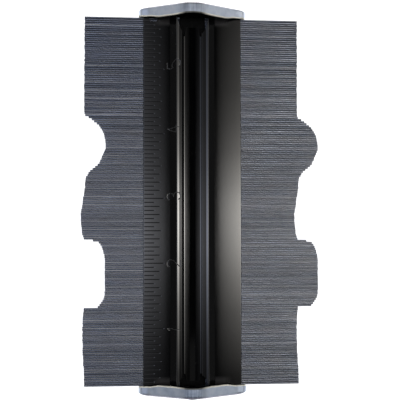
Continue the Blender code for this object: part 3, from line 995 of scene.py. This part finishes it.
# Bench
# A white matt sheet that the gauge lies on. It goes white in the picture and keeps the soft
# shadow of the gauge.
bench_half = 3.0
bench_gap = 0.00002
bench_glow = 0.93
bm = bmesh.new()
bm.faces.new([bm.verts.new((x * bench_half, y * bench_half, -bench_gap)) for x, y in square])
bench = made("bench", bm)
white, shader, add, join = finish("bench_white")
ray = add("ShaderNodeLightPath").outputs
seen = sum_of(add, ray["Is Camera Ray"], ray["Is Glossy Ray"], operation="MAXIMUM")
seen = sum_of(add, seen, ray["Is Transmission Ray"], operation="MAXIMUM")
glow = sum_of(add, seen, bench_glow, operation="MULTIPLY")
shader.inputs["Base Color"].default_value = (0.82, 0.82, 0.82, 1.0)
shader.inputs["Roughness"].default_value = 0.9
shader.inputs["Specular IOR Level"].default_value = 0.1
shader.inputs["Emission Color"].default_value = (1.0, 1.0, 1.0, 1.0)
join(glow, shader.inputs["Emission Strength"])
bench.data.materials.append(white)
bench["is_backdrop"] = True

# Light
# A dark studio with a wide soft box on each side of the camera, the left one bluish, the right one
# warmer and brighter. The gap between them, over the trough, is dark but for its foot, and pale
# walls stand round the bench.
left_box = 4.7
right_box = 17.8
gap_foot = 0.13
wall_glow = 0.72
end_glow = 0.2
walls_from, walls_to = 0.4, 0.9
lowest_way = 0.1

world = bpy.data.worlds.new("studio")
bpy.context.scene.world = world
world.use_nodes = True
add, join = builder(world.node_tree)
way = add("ShaderNodeSeparateXYZ", {"Vector": add("ShaderNodeTexCoord").outputs["Generated"]})


def band(value, places):
    """A brightness that runs through (place, level) pairs, places from -1 to 1."""
    spread = sum_of(add, value, 0.5, 0.5, operation="MULTIPLY_ADD")
    return ramp(add, spread, [((place + 1) / 2, grey(level)) for place, level in places])


up_way = sum_of(add, way.outputs["Z"], lowest_way, operation="MAXIMUM")
side_way = sum_of(add, way.outputs["X"], up_way, operation="DIVIDE")
long_way = sum_of(add, way.outputs["Y"], up_way, operation="DIVIDE")
left_across = [
    (-0.8, 0), (-0.5, 0.05), (-0.3, 0.5), (-0.15, 1), (-0.08, 0.95), (-0.01, 0.53), (0.003, 0.35),
    (0.0123, 0.285), (0.0186, 0.22), (0.0218, 0.12), (0.0234, 0.075), (0.0266, 0.013), (0.0285, 0),
]
left_along = [
    (-0.5, 0.03), (-0.21, 0.1), (-0.155, 0.2), (-0.105, 0.42), (-0.054, 0.72), (-0.003, 1),
    (0.023, 1), (0.073, 0.81), (0.124, 0.53), (0.2, 0.31), (0.3, 0.19), (0.36, 0.13), (1, 0.03),
]
right_across = [
    (0.097, 0), (0.0995, 0.004), (0.1011, 0.017), (0.1027, 0.033), (0.1043, 0.077),
    (0.1075, 0.149), (0.1106, 0.2), (0.1138, 0.246), (0.1202, 0.283), (0.1233, 0.326),
    (0.1297, 0.394), (0.136, 0.446), (0.17, 0.95), (0.24, 1), (0.36, 0.35), (0.5, 0.06), (0.7, 0),
]
right_along = [
    (-0.5, 0.01), (-0.206, 0.03), (-0.155, 0.118), (-0.104, 0.24), (-0.054, 0.48), (-0.003, 0.83),
    (0.0225, 0.956), (0.048, 1), (0.073, 0.91), (0.099, 0.68), (0.149, 0.35), (0.2, 0.2),
    (0.25, 0.125), (0.35, 0.065), (1, 0.01),
]
left = sum_of(add, band(side_way, left_across), band(long_way, left_along), operation="MULTIPLY")
right = sum_of(add, band(side_way, right_across), band(long_way, right_along), operation="MULTIPLY")
boxes = sum_of(add, left, left_box, operation="MULTIPLY")
boxes = sum_of(add, right, right_box, boxes, operation="MULTIPLY_ADD")
gap_across = [(0.03, 0), (0.05, 1), (0.085, 1), (0.1, 0)]
gap_along = [(-0.5, 0.5), (-0.2, 1), (-0.17, 0.9), (-0.155, 0.7), (-0.14, 0.15), (-0.12, 0)]
gap = sum_of(add, band(side_way, gap_across), band(long_way, gap_along), operation="MULTIPLY")
boxes = sum_of(add, gap, gap_foot, boxes, operation="MULTIPLY_ADD")
walls, ends = (
    band(way.outputs[axis], [(-walls_to, level), (-walls_from, 0), (walls_from, 0), (walls_to, level)])
    for axis, level in (("X", wall_glow), ("Y", end_glow))
)
glow = sum_of(add, boxes, sum_of(add, walls, ends))
tints_across = [
    (0.25, (1.0, 1.0, 1.0)), (0.44, (0.88, 0.97, 1.25)), (0.49, (0.98, 1.0, 1.1)),
    (0.53, (1.0, 1.0, 1.0)), (0.57, (1.04, 1.0, 0.94)), (0.65, (1.03, 1.0, 0.95)),
    (0.75, (1.0, 1.0, 1.0)),
]
spread = sum_of(add, side_way, 0.5, 0.5, operation="MULTIPLY_ADD")
room = world.node_tree.nodes["Background"]
join(ramp(add, spread, tints_across), room.inputs["Color"])
join(glow, room.inputs["Strength"])

# Camera
# Straight above the front face, a little to the left and below the middle, as the picture is.
camera_place = (-0.01899, -0.01778, 0.2583)
camera_turn = (1.255, -3.713, 0.011)
camera_lens = 57.02
camera_shift = (0.0158, 0.0801)
eye = bpy.data.cameras.new("camera")
eye.lens = camera_lens
eye.shift_x, eye.shift_y = camera_shift
eye.clip_start, eye.clip_end = 0.01, 20.0
camera = bpy.data.objects.new("camera", eye)
camera.location = camera_place
camera.rotation_mode = "YXZ"
camera.rotation_euler = [math.radians(turn) for turn in camera_turn]
bpy.context.scene.collection.objects.link(camera)
bpy.context.scene.camera = camera
bpy.context.scene.view_settings.view_transform = "Standard"

low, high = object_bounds()
